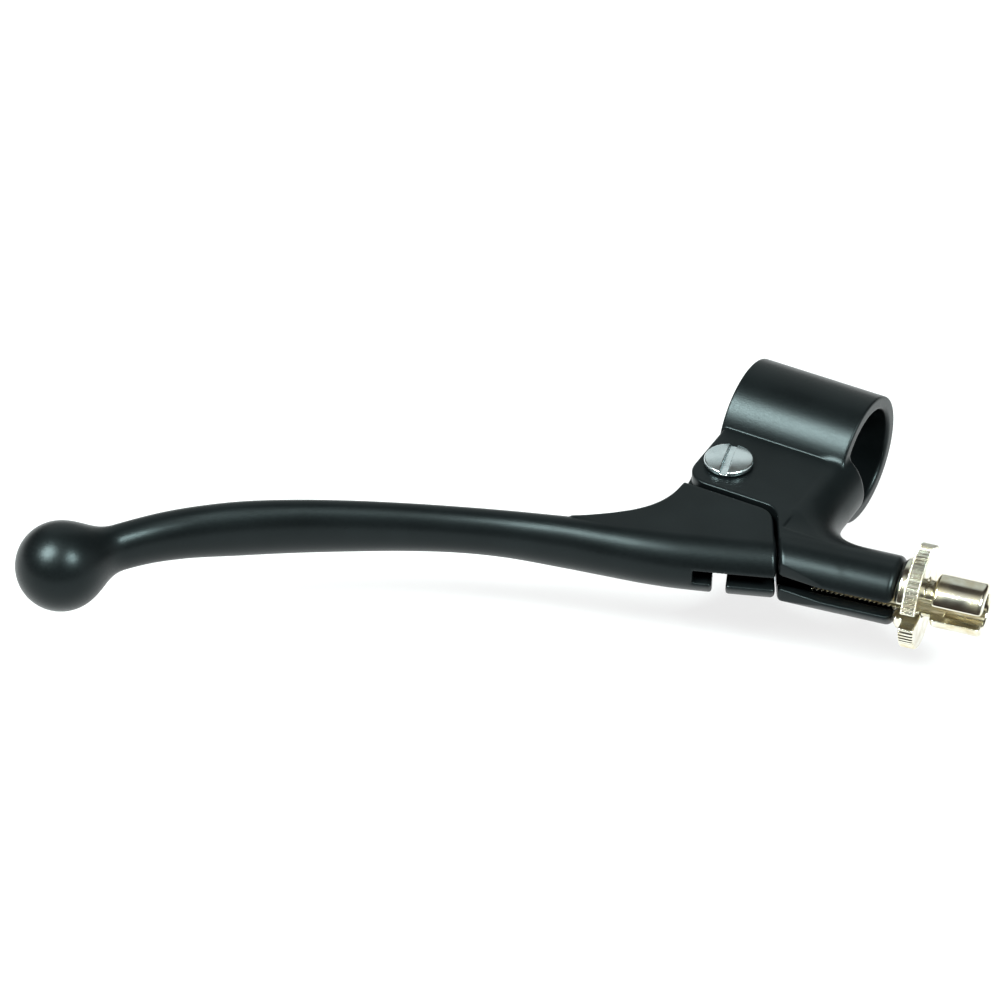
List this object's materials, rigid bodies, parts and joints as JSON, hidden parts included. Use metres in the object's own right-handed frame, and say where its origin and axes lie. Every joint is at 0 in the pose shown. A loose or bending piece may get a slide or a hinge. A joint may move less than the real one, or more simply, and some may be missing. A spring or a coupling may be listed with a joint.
{
  "type": "motorcycle clutch lever",
  "caption": "Black ball-end clutch lever on a one-piece handlebar clamp perch, with a slotted pivot screw and a knurled, slotted cable adjuster.",
  "frame": {"origin": "centre of the handlebar clamp bore, midway along the clamp", "axes": "+X along the handlebar bore towards the cable adjuster; +Y from the lever towards the handlebar; +Z along the lever pivot towards the slotted screw head"},
  "size_m": [0.1815, 0.1363, 0.0359],
  "materials": {
    "black_coating": "satin black powder coat on cast aluminium, fine orange peel",
    "zinc_plate": "bright zinc-plated steel",
    "nickel_plate": "bright nickel-plated brass, slightly warm",
    "bronze": "oiled bronze",
    "nylon": "blue nylon"
  },
  "bodies": {
    "perch": {"perch_body": "black_coating", "pivot_screw": "zinc_plate", "pivot_nut": "zinc_plate", "pivot_nut_insert": "nylon", "clamp_screw": "zinc_plate", "clamp_washer": "zinc_plate", "clamp_spring_washer": "zinc_plate"},
    "lever": {"lever_blade": "black_coating", "pivot_bush": "bronze"},
    "lock_wheel": {"lock_wheel": "nickel_plate"},
    "adjuster": {"adjuster_screw": "nickel_plate"}
  },
  "joints": [
    {"name": "lever_pivot", "type": "hinge", "parent": "perch", "child": "lever", "pos_m": [-0.0071, -0.0233, 0], "axis": [0, 0, 1], "range_deg": [-32, 0]},
    {"name": "adjuster_travel", "type": "slide", "parent": "perch", "child": "lock_wheel", "axis": [0.9877, 0.1564, 0], "range_m": [0, 0.008]},
    {"name": "adjuster_spin", "type": "hinge", "parent": "lock_wheel", "child": "adjuster", "pos_m": [0.0386, -0.0368, 0], "axis": [0.9877, 0.1564, 0], "range_deg": [0, 2881]}
  ],
  "couplings": [
    {"joint": "adjuster_spin", "follows": "adjuster_travel", "rad_per_m": 6283.2}
  ]
}
